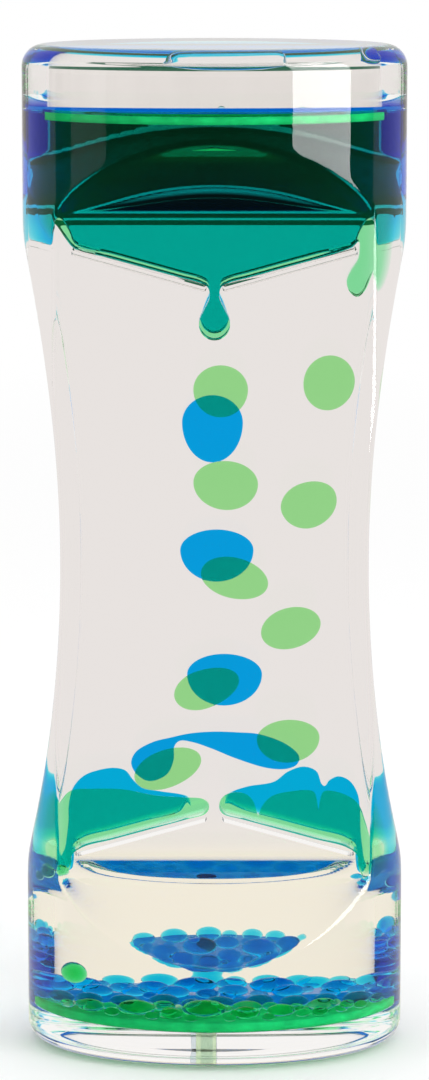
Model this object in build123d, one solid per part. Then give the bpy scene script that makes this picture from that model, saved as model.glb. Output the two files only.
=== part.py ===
from build123d import *
import os
from math import atan2, cos, hypot, radians, sin, sqrt, tan

# Liquid motion timer, millimetres. Origin at the middle of the underside, +Z up, front towards -Y.

# Vessel, outside
HEIGHT = 150.0          # underside to top
END_WIDTH = 56.5        # oval ends, side to side
END_DEPTH = 39.0        # oval ends, front to back
WAIST_WIDTH = 45.4      # narrowest width, at half height
BAND = 28.4             # from each end to where the sides begin to curve in
FACE_DEPTH = 22.0       # flat front face to flat rear face
SCOOP_START = 13.1      # from the top to where a scooped face leaves the oval
SCOOP_END = 23.7        # from the top to where it turns flat
LOW_SCOOP_START = 15.7  # the same from the underside, where the thicker base lifts the scoop
LOW_SCOOP_END = 27.2
RIM_ROUND = 3.2         # rounding of the top and bottom rims
EDGE_ROUND = 1.6        # rounding of the edges round the scooped faces
EDGE_TURN = 70.0        # how far that rounding turns at the waist before the flat face begins, degrees
SCOOP_ROUND = 1.5       # rounding in the valley where scoop and flat face meet

# Vessel, walls
SIDE_WALL = 3.0
FACE_WALL = 2.5
TOP_WALL = 2.7
BASE_WALL = 5.2
DIVIDER = 2.0           # plate between the two chambers
CAVITY_BEVEL = 1.2      # bevel of each chamber's end corners

# Ramps: two pairs of sloping strips in each chamber
RAMP_THICKNESS = 0.95
RAMP_ANGLE = 15.5       # slope, degrees
RAMP_FROM_TOP = 29.6    # from the top down to the upper ramps' outer tips
RAMP_FROM_BASE = 30.5   # from the underside up to the lower ramps' outer tips
SLOT = 2.4              # opening between the two ramps of a pair
SIDE_GAP = 1.1          # from a ramp's outer tip to the chamber's narrow side
GROOVE = 0.6            # depth of the ramps' grooves in the divider
RAMP_FIT = 0.05         # glue gap all round a ramp
TIP_ROUND = 0.35        # rounding of a ramp's long edges

# Fill holes in the base, one for each chamber, closed by glued pins
FILL_BORE = 3.0
FILL_FIT = 0.05
FILL_SIDE = 1.2         # offset of the bore from the middle plane
FILL_LAND = 0.9         # from the bore to the chamber's front or rear wall
PIN_RECESS = 0.2        # from the underside up to the pin
PIN_CHAMFER = 0.4

# Coloured liquid
LIQUID_GAP = 0.1        # film of clear liquid between coloured liquid and walls
FALL_GAP = 0.3          # clear liquid between a falling drop and the two faces of its cell
LEVEL = 9.9             # top of the coloured liquid, below the vessel's top
CLING = 22.0            # where the upper pools leave the side walls, below the vessel's top
CLING_BULGE = 1.0       # how far the free edge there sags out of its chord
DROP_BEVEL = 0.8        # bevel of a drop's edges at the two faces
FLOOR_DEPTH = 1.3       # depth of the settled layer on each chamber's floor
BEAD_RISE = 1.5         # how far settled beads stand out of that layer
BEAD_WIDTH = 8.6        # width of a settled bead at its foot
BEAD_CROWN = 4.2        # and at its flat crown
BEAD_PITCH = 9.2        # spacing of the settled beads along the floor
BEAD_INSET = 2.4        # from the beads' outer edge to the chamber's side wall

# Drops that hang in the upper slot: neck radius, bulb radius, bulb's middle below the ramps' inner edges
NECK = 0.8
FRONT_BULB = 2.27
REAR_BULB = 2.0
BULB_DROP = 5.3

# Green drip that runs down through the right side gap of the front chamber
DRIP_NECK = 0.75
DRIP_BULB = 1.7
DRIP_LENGTH = 5.0       # from the ramp's tip down to the middle of the drip's bulb
DRIP_CLEAR = 0.25       # from the drip to the ramp's tip
DRIP_WALL = 1.1         # from the drip's bulb to the side wall

# Drips at the outer tips of the lower ramps: radius and length below the tip
TAIL = 0.8
TAIL_BULB = 1.0
TAIL_LENGTH = 3.2

# Lengths used only to run cutters and outlines out past the vessel
PAST = 20.0

MIDDLE = HEIGHT / 2
WAIST_SAG = (END_WIDTH - WAIST_WIDTH) / 2
WAIST_CHORD = MIDDLE - BAND
WAIST_RADIUS = (WAIST_CHORD ** 2 + WAIST_SAG ** 2) / (2 * WAIST_SAG)
WAIST_CENTRE = WAIST_WIDTH / 2 + WAIST_RADIUS
SCOOP_OUT = (END_DEPTH - FACE_DEPTH) / 2

CELL_FRONT = FACE_DEPTH / 2 - FACE_WALL     # inner face of the front wall, from the middle plane
CELL_BACK = DIVIDER / 2                     # divider's face, from the middle plane
CHAMBER_HALF_WIDTH = END_WIDTH / 2 - SIDE_WALL
CHAMBER_HALF_DEPTH = END_DEPTH / 2 - FACE_WALL
CHAMBER_AT_FACE = CHAMBER_HALF_WIDTH * sqrt(1 - (CELL_FRONT / CHAMBER_HALF_DEPTH) ** 2)

SLOPE = radians(RAMP_ANGLE)
RAMP_TIP = CHAMBER_AT_FACE - SIDE_GAP
RAMP_EDGE = SLOT / 2
RAMP_RUN = RAMP_TIP - RAMP_EDGE
RAMP_MIDDLE = (RAMP_TIP + RAMP_EDGE) / 2
RAMP_FALL = RAMP_RUN * tan(SLOPE)
HALF_RAMP = RAMP_THICKNESS / 2 / cos(SLOPE)
UPPER_TIP = HEIGHT - RAMP_FROM_TOP
UPPER_EDGE = UPPER_TIP - RAMP_FALL
LOWER_TIP = RAMP_FROM_BASE
LOWER_EDGE = LOWER_TIP + RAMP_FALL
FALL_TOP = UPPER_EDGE - HALF_RAMP           # fall of the drops, from the upper slot to the lower one
FALL_FOOT = LOWER_EDGE + HALF_RAMP

FRONT = -1
REAR = 1
LEFT = -1
RIGHT = 1
COLOURS = {FRONT: "front", REAR: "rear"}
HANDS = {LEFT: "left", RIGHT: "right"}


def chamber_wall(z):
    """Half width of a chamber between its flat faces, at height z."""
    inner_radius = WAIST_RADIUS + SIDE_WALL
    return WAIST_CENTRE - sqrt(inner_radius ** 2 - (z - MIDDLE) ** 2)


def upper_ramp_top(x):
    """Height of the liquid's seat on the upper ramps, at distance x from the middle."""
    return UPPER_EDGE + (x - RAMP_EDGE) * tan(SLOPE) + HALF_RAMP + LIQUID_GAP


def lower_ramp_top(x):
    """Height of the liquid's seat on the lower ramps, at distance x from the middle."""
    return LOWER_EDGE - (x - RAMP_EDGE) * tan(SLOPE) + HALF_RAMP + LIQUID_GAP


def fall_height(share):
    """Height of a point on the drops' fall, from 0 at the lower ramps to 1 at the upper slot."""
    return FALL_FOOT + share * (FALL_TOP - FALL_FOOT)


# Vessel

def scoop_slope(start, end, inset, run_out):
    """Distances from an end of the vessel at which a scoop turns flat and, drawn on, is run_out further out."""
    tilt = atan2(SCOOP_OUT, end - start)
    turn = end + inset * tan(tilt / 2)
    return turn, turn - run_out / tan(tilt)


def scoop_cutter(side, inset):
    """Prism that cuts one scooped face, moved into the vessel by inset."""
    flat = FACE_DEPTH / 2 - inset
    run_out = SCOOP_OUT + inset + PAST
    low_turn, low_mouth = scoop_slope(LOW_SCOOP_START, LOW_SCOOP_END, inset, run_out)
    turn, mouth = scoop_slope(SCOOP_START, SCOOP_END, inset, run_out)
    outline = Polyline(
        (side * flat, low_turn),
        (side * (flat + run_out), low_mouth),
        (side * (flat + run_out), HEIGHT - mouth),
        (side * flat, HEIGHT - turn),
        close=True,
    )
    sketch = make_face(outline)
    valleys = sketch.vertices().sort_by(lambda v: abs(v.X))[:2]
    sketch = fillet(valleys, SCOOP_ROUND + inset)
    return extrude(Plane.YZ * sketch, END_WIDTH, both=True)


def oval_drum(side_inset, face_inset, low, high, soften, rim):
    """Oval block from low to high, with softened rims and its two faces scooped flat."""
    oval = Ellipse(END_WIDTH / 2 - side_inset, END_DEPTH / 2 - face_inset)
    drum = Pos(0, 0, low) * extrude(oval, high - low)
    drum = soften(drum.edges().filter_by(GeomType.ELLIPSE), rim)
    for side in (FRONT, REAR):
        drum -= scoop_cutter(side, face_inset)
    return drum


def waisted(form, barrel):
    """A form with its two sides hollowed by a barrel whose axis runs front to back."""
    for hand in (LEFT, RIGHT):
        form -= Pos(hand * WAIST_CENTRE, 0, MIDDLE) * barrel
    return form.solid()


def half_space(side, start):
    """Block that covers everything on one side of the middle plane, from start outwards."""
    depth = END_DEPTH + PAST
    block = Box(END_WIDTH + PAST, depth, HEIGHT + PAST)
    return Pos(0, side * (start + depth / 2), MIDDLE) * block


def scoop_edges(drum):
    """Edges all round the two scooped faces, where they meet the oval."""
    def on_oval(edge):
        point = edge @ 0.5
        off_oval = hypot(2 * point.X / END_WIDTH, 2 * point.Y / END_DEPTH) - 1
        between_rims = RIM_ROUND < point.Z < HEIGHT - RIM_ROUND
        outside_flat = abs(point.Y) > FACE_DEPTH / 2 - EDGE_ROUND
        return abs(off_oval) < 1e-3 and between_rims and outside_flat
    return drum.edges().filter_by(on_oval)


def flared_barrel():
    """Barrel that hollows a side and rounds its edges: it widens towards both flat faces."""
    turn = radians(EDGE_TURN)
    face = FACE_DEPTH / 2
    straight = face - EDGE_ROUND * sin(turn)
    lip = WAIST_RADIUS + EDGE_ROUND * (1 - cos(turn))
    half_way = (WAIST_RADIUS + EDGE_ROUND * (1 - cos(turn / 2)), straight + EDGE_ROUND * sin(turn / 2))
    mouth = (lip + SCOOP_OUT * tan(turn), face + SCOOP_OUT)
    half = make_face([
        Polyline((0, 0), (WAIST_RADIUS, 0), (WAIST_RADIUS, straight)),
        ThreePointArc((WAIST_RADIUS, straight), half_way, (lip, face)),
        Polyline((lip, face), mouth, (0, mouth[1]), (0, 0)),
    ])
    return revolve(half + mirror(half, Plane.XZ), Axis.Y)


def rounded_block():
    """The vessel's outside, with its rims and the edges of its scooped faces rounded."""
    drum = oval_drum(0, 0, 0, HEIGHT, fillet, RIM_ROUND)
    drum = fillet(scoop_edges(drum), EDGE_ROUND)
    return waisted(drum, flared_barrel())


def chamber_form(gap):
    """Both chambers as one form, drawn in by gap on every wall."""
    low = BASE_WALL + gap
    high = HEIGHT - TOP_WALL - gap
    drum = oval_drum(SIDE_WALL + gap, FACE_WALL + gap, low, high, chamfer, CAVITY_BEVEL)
    barrel = Cylinder(WAIST_RADIUS + SIDE_WALL + gap, 2 * END_DEPTH, rotation=(90, 0, 0))
    return waisted(drum, barrel)


def fill_point(side):
    """Middle of a chamber's fill hole."""
    return Pos(-FILL_SIDE, side * (CHAMBER_HALF_DEPTH - FILL_LAND - FILL_BORE / 2), BASE_WALL / 2)


def shell(block, chambers, side):
    """One moulded half: face, half the sides, half the top and half the base with its fill hole."""
    half = (block - chambers) & half_space(side, CELL_BACK)
    half -= fill_point(side) * Cylinder(FILL_BORE / 2, 2 * BASE_WALL)
    return half.solid()


def fill_pin(side):
    """Pin glued into a fill hole, its lower edge chamfered and clear of the table."""
    pin = Cylinder(FILL_BORE / 2 - FILL_FIT, BASE_WALL - PIN_RECESS)
    pin = chamfer(pin.edges().filter_by(GeomType.CIRCLE).group_by(Axis.Z)[0], PIN_CHAMFER)
    return fill_point(side) * Pos(0, 0, PIN_RECESS / 2) * pin


# Ramps

def ramp_outline(hand, upper, gap):
    """Section of one ramp in the XZ plane, grown by gap all round."""
    length = RAMP_RUN / cos(SLOPE) + 2 * gap
    thickness = RAMP_THICKNESS + 2 * gap
    section = RectangleRounded(length, thickness, TIP_ROUND + gap)
    height = (UPPER_TIP + UPPER_EDGE) / 2 if upper else (LOWER_TIP + LOWER_EDGE) / 2
    lean = hand * RAMP_ANGLE if upper else -hand * RAMP_ANGLE
    return Pos(hand * RAMP_MIDDLE, height) * Rot(0, 0, lean) * section


def across_cell(sketch, side, front, back):
    """Run an XZ outline through a chamber, between two distances from the middle plane."""
    near, far = sorted((side * front, side * back))
    return extrude(Plane.XZ.offset(-far) * sketch, far - near)


def ramp(side, hand, upper):
    outline = ramp_outline(hand, upper, 0)
    return across_cell(outline, side, CELL_FRONT - RAMP_FIT, CELL_BACK - GROOVE + RAMP_FIT)


def divider_plate(block):
    """Clear plate between the chambers, grooved on both faces for the ramps."""
    plate = block - half_space(FRONT, CELL_BACK) - half_space(REAR, CELL_BACK)
    for side in (FRONT, REAR):
        for hand in (LEFT, RIGHT):
            for upper in (True, False):
                outline = ramp_outline(hand, upper, RAMP_FIT)
                plate -= across_cell(outline, side, CELL_BACK + RAMP_FIT, CELL_BACK - GROOVE)
    return plate.solid()


# Coloured liquid

def in_chamber(sketch, room, side):
    """Coloured liquid of a given front outline, as deep as its chamber."""
    liquid = across_cell(sketch, side, CHAMBER_HALF_DEPTH, CELL_BACK + LIQUID_GAP)
    return (liquid & room).solid()


def hull_of_circles(*circles):
    """Outline round circles given as x, z and radius."""
    edges = [(Pos(x, z) * Circle(radius)).edge() for x, z, radius in circles]
    return make_hull(edges)


def upper_pool(room, side, bulb):
    """Liquid still to fall, in the funnel over the upper ramps, with the drop that hangs in the slot."""
    level = HEIGHT - LEVEL
    cling = HEIGHT - CLING
    wide = CHAMBER_HALF_WIDTH + PAST
    wall = chamber_wall(cling)
    seat = upper_ramp_top(RAMP_TIP)
    foot = upper_ramp_top(0)
    half_way = ((wall + RAMP_TIP) / 2 - CLING_BULGE, (cling + seat) / 2)
    outline = [
        Polyline((-wall, cling), (-wide, cling), (-wide, level), (wide, level), (wide, cling), (wall, cling)),
        ThreePointArc((wall, cling), half_way, (RAMP_TIP, seat)),
        Polyline((RAMP_TIP, seat), (0, foot), (-RAMP_TIP, seat)),
        ThreePointArc((-RAMP_TIP, seat), (-half_way[0], half_way[1]), (-wall, cling)),
    ]
    sketch = make_face(outline)
    sketch += hull_of_circles((0, UPPER_EDGE + NECK, NECK), (0, UPPER_EDGE - BULB_DROP, bulb))
    if side == FRONT:
        sketch += side_drip(cling)
    return in_chamber(sketch, room, side)


def side_drip(cling):
    """Outline of the drip between the right ramp's tip and the side wall."""
    gap_x = RAMP_TIP + DRIP_CLEAR + DRIP_NECK
    bulb_z = UPPER_TIP - DRIP_LENGTH
    bulb_x = chamber_wall(bulb_z) - DRIP_BULB - DRIP_WALL
    throat = UPPER_TIP - HALF_RAMP
    upper = hull_of_circles((gap_x, cling, DRIP_NECK), (gap_x, throat, DRIP_NECK))
    return upper + hull_of_circles((gap_x, throat, DRIP_NECK), (bulb_x, bulb_z, DRIP_BULB))


def roof_pool(room, side, hand, crest):
    """Liquid that has landed on one lower ramp: crest is its top edge, from the slot to the side wall."""
    top = [(hand * (RAMP_EDGE + share * RAMP_RUN), LOWER_EDGE + rise) for share, rise in crest]
    first = abs(top[0][0])
    wide = CHAMBER_HALF_WIDTH + PAST
    tip = RAMP_TIP + LIQUID_GAP
    seat = lower_ramp_top(tip)
    outline = [
        Spline(*top),
        Polyline(
            top[-1],
            (hand * wide, top[-1][1]),
            (hand * wide, seat),
            (hand * tip, seat),
            (hand * first, lower_ramp_top(first)),
            top[0],
        ),
    ]
    sketch = make_face(outline)
    tail_x = hand * (RAMP_TIP + DRIP_CLEAR + TAIL)
    sketch += hull_of_circles((tail_x, seat + TAIL, TAIL), (tail_x, LOWER_TIP - TAIL_LENGTH, TAIL_BULB))
    return in_chamber(sketch, room, side)


def floor_layer(room, side):
    """Settled liquid on a chamber's floor, with a row of beads that have not merged yet."""
    top = BASE_WALL + FLOOR_DEPTH
    layer = Box(2 * END_WIDTH, 2 * END_DEPTH, 2 * top)
    bead = Cone(BEAD_WIDTH / 2, BEAD_CROWN / 2, BEAD_RISE)
    count = int((CHAMBER_HALF_WIDTH - BEAD_INSET - BEAD_WIDTH / 2) / BEAD_PITCH)
    for step in range(-count, count + 1):
        x = step * BEAD_PITCH
        depth = CHAMBER_HALF_DEPTH * sqrt(1 - (x / CHAMBER_HALF_WIDTH) ** 2)
        layer += Pos(x, side * (CELL_BACK + depth) / 2, top + BEAD_RISE / 2) * bead
    return (layer & room & half_space(side, CELL_BACK + LIQUID_GAP)).solid()


def egg(left, right, up, down):
    """Closed outline of four quarter ellipses that meet smoothly."""
    radii = [(right, up), (left, up), (left, down), (right, down)]
    quarters = [
        EllipticalCenterArc((0, 0), across, upright, 90 * turn, arc_size=90)
        for turn, (across, upright) in enumerate(radii)
    ]
    return make_face(quarters)


def falling_drop(side, x, z, shape, tilt):
    """Drop held flat between the face wall and the divider, free to sink."""
    outline = Pos(x, z) * Rot(0, 0, tilt) * egg(*shape)
    drop = across_cell(outline, side, CELL_FRONT - FALL_GAP, CELL_BACK + FALL_GAP)
    rims = drop.faces().filter_by(Axis.Y).edges()
    return chamfer(rims, DROP_BEVEL).solid()


def ribbon(side, spine, widths):
    """Long drop drawn out over the lower slot, along a spine of points with its width at each."""
    upper = [(x, fall_height(share) + w / 2) for (x, share), w in zip(spine, widths)]
    lower = [(x, fall_height(share) - w / 2) for (x, share), w in zip(spine, widths)]
    outline = Spline(*upper, *reversed(lower), periodic=True)
    drop = across_cell(make_face(outline), side, CELL_FRONT - FALL_GAP, CELL_BACK + FALL_GAP)
    return drop.solid()


# Green drops of the front chamber's middle lane, from the slot down:
# distance right of the middle, share of the fall, left, right, up and down half sizes, tilt
FRONT_LANE = [
    (0.9, 0.813, (4.0, 4.0, 3.6, 4.1), 0),
    (1.8, 0.635, (4.9, 4.6, 3.3, 4.0), -4),
    (2.8, 0.453, (4.9, 5.2, 3.1, 3.0), -14),
    (-1.9, 0.237, (4.2, 5.8, 2.9, 2.9), 20),
    (-7.3, 0.082, (4.8, 5.6, 2.9, 2.8), 21),
]

# Green drops beside the right wall, from the top down: distance from the wall instead of the middle
SIDE_LANE = [
    (4.6, 0.827, (3.7, 3.7, 4.0, 4.2), -18),
    (6.3, 0.596, (3.9, 4.5, 3.1, 3.7), 22),
    (8.8, 0.356, (4.4, 4.6, 3.1, 3.0), 17),
    (10.7, 0.143, (4.6, 4.7, 2.8, 3.7), 4),
]

# Blue drops of the rear chamber, from the slot down
REAR_LANE = [
    (-0.3, 0.739, (4.5, 4.5, 4.1, 6.0), 0),
    (0.3, 0.493, (5.4, 5.5, 3.1, 4.8), 0),
    (1.4, 0.251, (5.5, 5.7, 3.1, 4.8), 0),
]

# Blue ribbon over the lower slot: distance right of the middle and share of the fall, and width at each
RIBBON_SPINE = [(-12.3, 0.062), (-7.8, 0.107), (-2.6, 0.116), (2.4, 0.106), (7.6, 0.091), (12.4, 0.077)]
RIBBON_WIDTHS = [1.2, 0.8, 1.9, 4.2, 4.4, 1.2]

# Crests of the liquid on the lower ramps, from the slot outwards: share of the ramp's run, height over the ridge
CRESTS = {
    (FRONT, LEFT): [(0.02, 1.0), (0.13, 1.7), (0.39, 1.9), (0.64, 2.8), (0.96, 2.8)],
    (FRONT, RIGHT): [(0.02, 1.1), (0.09, 2.3), (0.30, 3.2), (0.52, 3.7), (0.86, 3.0), (1.01, 1.1)],
    (REAR, LEFT): [(0.14, 0.3), (0.25, 1.0), (0.50, 1.7), (0.65, 4.0), (0.82, 4.4), (0.96, 3.5), (1.04, 1.3)],
    (REAR, RIGHT): [(0.04, 0.8), (0.18, 1.9), (0.40, 2.5), (0.63, 4.7), (0.77, 3.3), (0.89, 3.7), (1.04, 1.3)],
}


def build():
    """Every piece of the timer by its node's name."""
    block = rounded_block()
    chambers = chamber_form(0)
    room = chamber_form(LIQUID_GAP)
    pieces = {"divider_plate": divider_plate(block)}
    for side, name in COLOURS.items():
        pieces[f"{name}_shell"] = shell(block, chambers, side)
        pieces[f"{name}_fill_pin"] = fill_pin(side)
        pieces[f"{name}_floor_layer"] = floor_layer(room, side)
        for hand, hand_name in HANDS.items():
            pieces[f"{name}_upper_{hand_name}_ramp"] = ramp(side, hand, True)
            pieces[f"{name}_lower_{hand_name}_ramp"] = ramp(side, hand, False)
            pieces[f"{name}_{hand_name}_roof_pool"] = roof_pool(room, side, hand, CRESTS[side, hand])
    pieces["front_upper_pool"] = upper_pool(room, FRONT, FRONT_BULB)
    pieces["rear_upper_pool"] = upper_pool(room, REAR, REAR_BULB)
    for number, (x, share, shape, tilt) in enumerate(FRONT_LANE, 1):
        pieces[f"front_drop_{number}"] = falling_drop(FRONT, x, fall_height(share), shape, tilt)
    for number, (gap, share, shape, tilt) in enumerate(SIDE_LANE, 1):
        z = fall_height(share)
        pieces[f"front_side_drop_{number}"] = falling_drop(FRONT, chamber_wall(z) - gap, z, shape, tilt)
    for number, (x, share, shape, tilt) in enumerate(REAR_LANE, 1):
        pieces[f"rear_drop_{number}"] = falling_drop(REAR, x, fall_height(share), shape, tilt)
    pieces["rear_ribbon"] = ribbon(REAR, RIBBON_SPINE, RIBBON_WIDTHS)
    return pieces


os.makedirs("parts", exist_ok=True)
for node, piece in build().items():
    export_step(piece, f"parts/{node}.step")
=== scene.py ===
import math
import random

import bmesh
import bpy
import numpy as np
from mathutils.geometry import delaunay_2d_cdt
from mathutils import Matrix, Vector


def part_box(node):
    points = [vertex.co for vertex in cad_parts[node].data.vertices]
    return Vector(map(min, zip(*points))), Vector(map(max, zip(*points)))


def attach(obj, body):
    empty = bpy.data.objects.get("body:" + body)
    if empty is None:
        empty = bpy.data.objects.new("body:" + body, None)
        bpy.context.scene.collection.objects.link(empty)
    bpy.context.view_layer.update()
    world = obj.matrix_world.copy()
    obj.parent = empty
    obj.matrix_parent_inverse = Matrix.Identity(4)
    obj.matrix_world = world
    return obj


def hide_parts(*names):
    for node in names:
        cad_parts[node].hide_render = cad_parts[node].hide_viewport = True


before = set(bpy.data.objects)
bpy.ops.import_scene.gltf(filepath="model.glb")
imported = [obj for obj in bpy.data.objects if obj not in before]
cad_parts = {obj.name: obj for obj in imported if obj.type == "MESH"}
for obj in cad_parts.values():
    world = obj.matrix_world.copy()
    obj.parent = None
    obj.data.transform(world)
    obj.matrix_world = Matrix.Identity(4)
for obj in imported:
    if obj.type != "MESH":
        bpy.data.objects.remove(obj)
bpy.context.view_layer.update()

# Liquid motion timer: clear waisted vessel with a green front chamber and a blue rear one.
# Forms are worked out in millimetres in the CAD frame and become metres when a mesh is made.
MM = 0.001
SEED = 7

# Vessel, from the frame's shells and the walls of the moulding
front_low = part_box("front_shell")[0]
plate_low, plate_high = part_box("divider_plate")
HEIGHT = (plate_high[2] - plate_low[2]) / MM
HALF_WIDTH = (plate_high[0] - plate_low[0]) / 2 / MM
HALF_DEPTH = -front_low[1] / MM
MIDDLE = HEIGHT / 2
HALF_WAIST = 22.7
BAND = 28.4
HALF_FACE = 11.0
SCOOP_START = 13.1
SCOOP_END = 23.7
LOW_SCOOP_START = 15.7
LOW_SCOOP_END = 27.2
RIM_ROUND = 3.2
VALLEY_ROUND = 1.0
SIDE_WALL = 3.0
FACE_WALL = 2.5
TOP_WALL = 2.7
BASE_WALL = 5.2
CAVITY_ROUND = 1.2
HALF_DIVIDER = 1.0

# Powers that round the change from one wall to the next: a higher one is sharper
OVAL_BLEND = 110
CORNER_BLEND = 30
CHAMBER_BLEND = 90
TINY = 1e-6

# Steps under the base, from the middle outwards: height and distance from the outline
FOOT = ((0.6, 8.5), (0.55, 8.2), (0.35, 7.9), (0.3, 7.6), (0.3, 4.3), (0.25, 4.0), (0.0, 3.85))

WAIST_SAG = HALF_WIDTH - HALF_WAIST
WAIST_RADIUS = ((MIDDLE - BAND) ** 2 + WAIST_SAG ** 2) / (2 * WAIST_SAG)
WAIST_CENTRE = HALF_WAIST + WAIST_RADIUS

# Ramps and liquid
RAMP_THICKNESS = 0.95
RAMP_SLOPE = math.tan(math.radians(15.5))
RAMP_EDGE = 1.2
RAMP_TIP = 20.77
UPPER_EDGE = 114.97
LOWER_EDGE = 35.93
RAMP_SEAT = RAMP_THICKNESS / 2 / math.cos(math.atan(RAMP_SLOPE))
RAMP_ROUND = 0.42
GLUE_GAP = 0.05
LIQUID_GAP = 0.12
LEVEL = HEIGHT - 9.9

FRONT = -1
REAR = 1
LEFT = -1
RIGHT = 1
SIDE_NAMES = {FRONT: "front", REAR: "rear"}
HAND_NAMES = {LEFT: "left", RIGHT: "right"}


# Shape of the vessel

def waist_half(z, inset):
    """Half width of the hollowed sides at height z, drawn in by inset."""
    return WAIST_CENTRE - np.sqrt((WAIST_RADIUS + inset) ** 2 - (z - MIDDLE) ** 2)


def scoop_rise(from_end, start, end, inset):
    """How far a scoop stands out of the flat face, at a distance from its end of the vessel."""
    slope = (HALF_DEPTH - HALF_FACE) / (end - start)
    past_turn = end + inset * math.tan(math.atan(slope) / 2) - from_end
    return slope * (past_turn + np.sqrt(past_turn ** 2 + VALLEY_ROUND ** 2)) / 2


def face_half(z, inset):
    """Half depth of the scooped faces at height z, drawn in by inset."""
    upper = scoop_rise(HEIGHT - z, SCOOP_START, SCOOP_END, inset)
    return HALF_FACE - inset + upper + scoop_rise(z, LOW_SCOOP_START, LOW_SCOOP_END, inset)


def soft_least(power, *radii):
    """The least of several radii, with a rounded change from one to the next."""
    return sum((1 / np.maximum(r, TINY)) ** power for r in radii) ** (-1 / power)


def spread_angles(dense, reach, step, fine):
    """Angles round a section, closer together near the given ones."""
    angles = set(np.round(np.arange(0, 360, step), 4))
    for middle in dense:
        angles |= set(np.round(np.arange(middle - reach, middle + reach, fine) % 360, 4))
    return np.radians(sorted(angles))


def vessel_section(z, inset, angles):
    """Outer section of the vessel at height z as points x, y."""
    across, along = np.abs(np.cos(angles)), np.abs(np.sin(angles))
    oval = 1 / np.hypot(across / (HALF_WIDTH - inset), along / (HALF_DEPTH - inset))
    side = waist_half(z, 0) / np.maximum(across, TINY)
    face = face_half(z, 0) / np.maximum(along, TINY)
    reach = soft_least(OVAL_BLEND, oval, soft_least(CORNER_BLEND, side, face))
    return np.column_stack([reach * np.cos(angles), reach * np.sin(angles)])


def chamber_depth(z):
    """Depth of a chamber's front wall from the middle plane, at the middle of its width."""
    return np.minimum(face_half(z, FACE_WALL), HALF_DEPTH - FACE_WALL)


def chamber_section(z, inset, angles, side):
    """Section of one chamber at height z, about a point half way through its depth."""
    half_width, half_depth = HALF_WIDTH - SIDE_WALL - inset, HALF_DEPTH - FACE_WALL - inset
    centre = (HALF_DIVIDER + float(chamber_depth(z))) / 2
    across, along = np.cos(angles), np.sin(angles)
    a = (across / half_width) ** 2 + (along / half_depth) ** 2
    b = 2 * centre * along / half_depth ** 2
    c = (centre / half_depth) ** 2 - 1
    oval = (-b + np.sqrt(b * b - 4 * a * c)) / (2 * a)
    wall = (waist_half(z, SIDE_WALL) - inset) / np.maximum(np.abs(across), TINY)
    face = (face_half(z, FACE_WALL) - inset - centre) / np.maximum(along, TINY)
    plate = (centre - HALF_DIVIDER - inset) / np.maximum(-along, TINY)
    reach = soft_least(CHAMBER_BLEND, oval, wall, face, plate)
    return np.column_stack([reach * across, side * (centre + reach * along)])


def end_rows(length, fillet):
    """Distances from an end and the inset at each, over its rounding and on to half the length."""
    turns = np.radians(np.linspace(0, 90, 10))
    rows = [(0.0, fillet + 0.5)]
    rows += [(fillet * (1 - math.cos(t)), fillet * (1 - math.sin(t))) for t in turns]
    before_scoop = (fillet + 0.8, SCOOP_START - 2.5, 1.4)
    over_scoop = (SCOOP_START - 2.0, LOW_SCOOP_END + 2.5, 0.5)
    past_scoop = (LOW_SCOOP_END + 3.5, length / 2 - 1, 2.2)
    for start, stop, step in (before_scoop, over_scoop, past_scoop):
        rows += [(d, 0.0) for d in np.arange(start, stop, step)]
    return rows


def skin(section, low, high, fillet, foot=()):
    """Rows of points of a closed skin from low to high, rounded at both ends, with an optional foot."""
    half = end_rows(high - low, fillet)
    rows = [(low + d, inset) for d, inset in half] + [(high - d, inset) for d, inset in reversed(half)]
    rows = list(foot) + rows
    points = []
    for z, inset in rows:
        flat = section(z, inset)
        points.append(np.column_stack([flat, np.full(len(flat), z)]))
    return points


def stitched(rows, offset):
    """Faces between rows of equal length, with a flat face over each end."""
    count = len(rows[0])
    faces = [[offset + i for i in reversed(range(count))]]
    for row in range(len(rows) - 1):
        start = offset + row * count
        for i in range(count):
            after = (i + 1) % count
            faces.append([start + i, start + after, start + count + after, start + count + i])
    last = offset + (len(rows) - 1) * count
    faces.append([last + i for i in range(count)])
    return faces


def make_piece(name, points, faces, materials, body="vessel"):
    """A smooth mesh piece from millimetre points, riding on a body."""
    mesh = bpy.data.meshes.new(name)
    mesh.from_pydata((np.asarray(points) * MM).tolist(), [], faces)
    mesh.polygons.foreach_set("use_smooth", [True] * len(mesh.polygons))
    for material in materials:
        mesh.materials.append(material)
    piece = bpy.data.objects.new(name, mesh)
    bpy.context.collection.objects.link(piece)
    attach(piece, body)
    return piece


def face_outwards(piece, flip=False, weld=None):
    """Weld points that are closer than a distance, and turn all faces outwards, or inwards for a bubble."""
    form = bmesh.new()
    form.from_mesh(piece.data)
    if weld:
        bmesh.ops.remove_doubles(form, verts=form.verts, dist=weld)
    bmesh.ops.recalc_face_normals(form, faces=form.faces)
    if flip:
        bmesh.ops.reverse_faces(form, faces=form.faces)
    form.to_mesh(piece.data)
    form.free()


# Materials

WHITE = (1.0, 1.0, 1.0)
BLACK = (0.0, 0.0, 0.0)
HAZE_STARTS = 0.55
HAZE_ENDS = 0.8
DYE_HEADROOM = 1.0001


def new_material(name):
    """A material with its nodes, its links and its main shader."""
    material = bpy.data.materials.new(name)
    material.use_nodes = True
    nodes, links = material.node_tree.nodes, material.node_tree.links
    return material, nodes, links, nodes["Principled BSDF"]


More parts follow.
